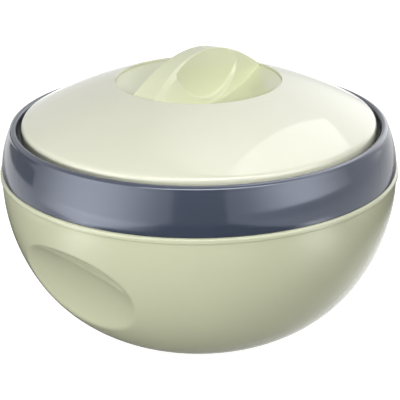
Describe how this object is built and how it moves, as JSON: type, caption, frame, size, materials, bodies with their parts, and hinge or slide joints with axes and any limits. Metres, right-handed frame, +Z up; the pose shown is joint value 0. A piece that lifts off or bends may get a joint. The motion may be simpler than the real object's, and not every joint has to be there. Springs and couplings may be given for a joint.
{
  "type": "thermal serving bowl",
  "caption": "Round insulated serving bowl with finger recesses, a contrasting rim band and a domed lift-off lid whose arched grip bar crosses a round well.",
  "frame": {"origin": "on the table under the middle of the foot ring", "axes": "+Z up along the round body's axis, X through both finger recesses and along the grip bar"},
  "size_m": [0.25, 0.25, 0.1816],
  "materials": {
    "bowl_plastic": "polished pale green moulding",
    "lid_plastic": "polished pale green moulding",
    "grip_plastic": "polished pale green moulding",
    "band_plastic": "polished slate blue moulding",
    "liner_plastic": "smooth off-white moulding",
    "foam": "rigid insulating foam",
    "plug_plastic": "fine matt moulding",
    "foot_rubber": "matt soft ring",
    "seal_rubber": "matt silicone",
    "screw_steel": "bright plated"
  },
  "bodies": {
    "bowl": {"outer_bowl": "bowl_plastic", "rim_band": "band_plastic", "inner_bowl": "liner_plastic", "bowl_insulation": "foam", "base_plug": "plug_plastic", "foot_ring": "foot_rubber"},
    "lid": {"lid_shell": "lid_plastic", "grip_insert": "grip_plastic", "grip_screws": "screw_steel", "lid_insulation": "foam", "lid_liner": "liner_plastic", "lid_seal": "seal_rubber"}
  },
  "joints": [
    {"name": "lid_lift", "type": "slide", "parent": "bowl", "child": "lid", "axis": [0, 0, 1], "range_m": [0, 0.12]}
  ]
}
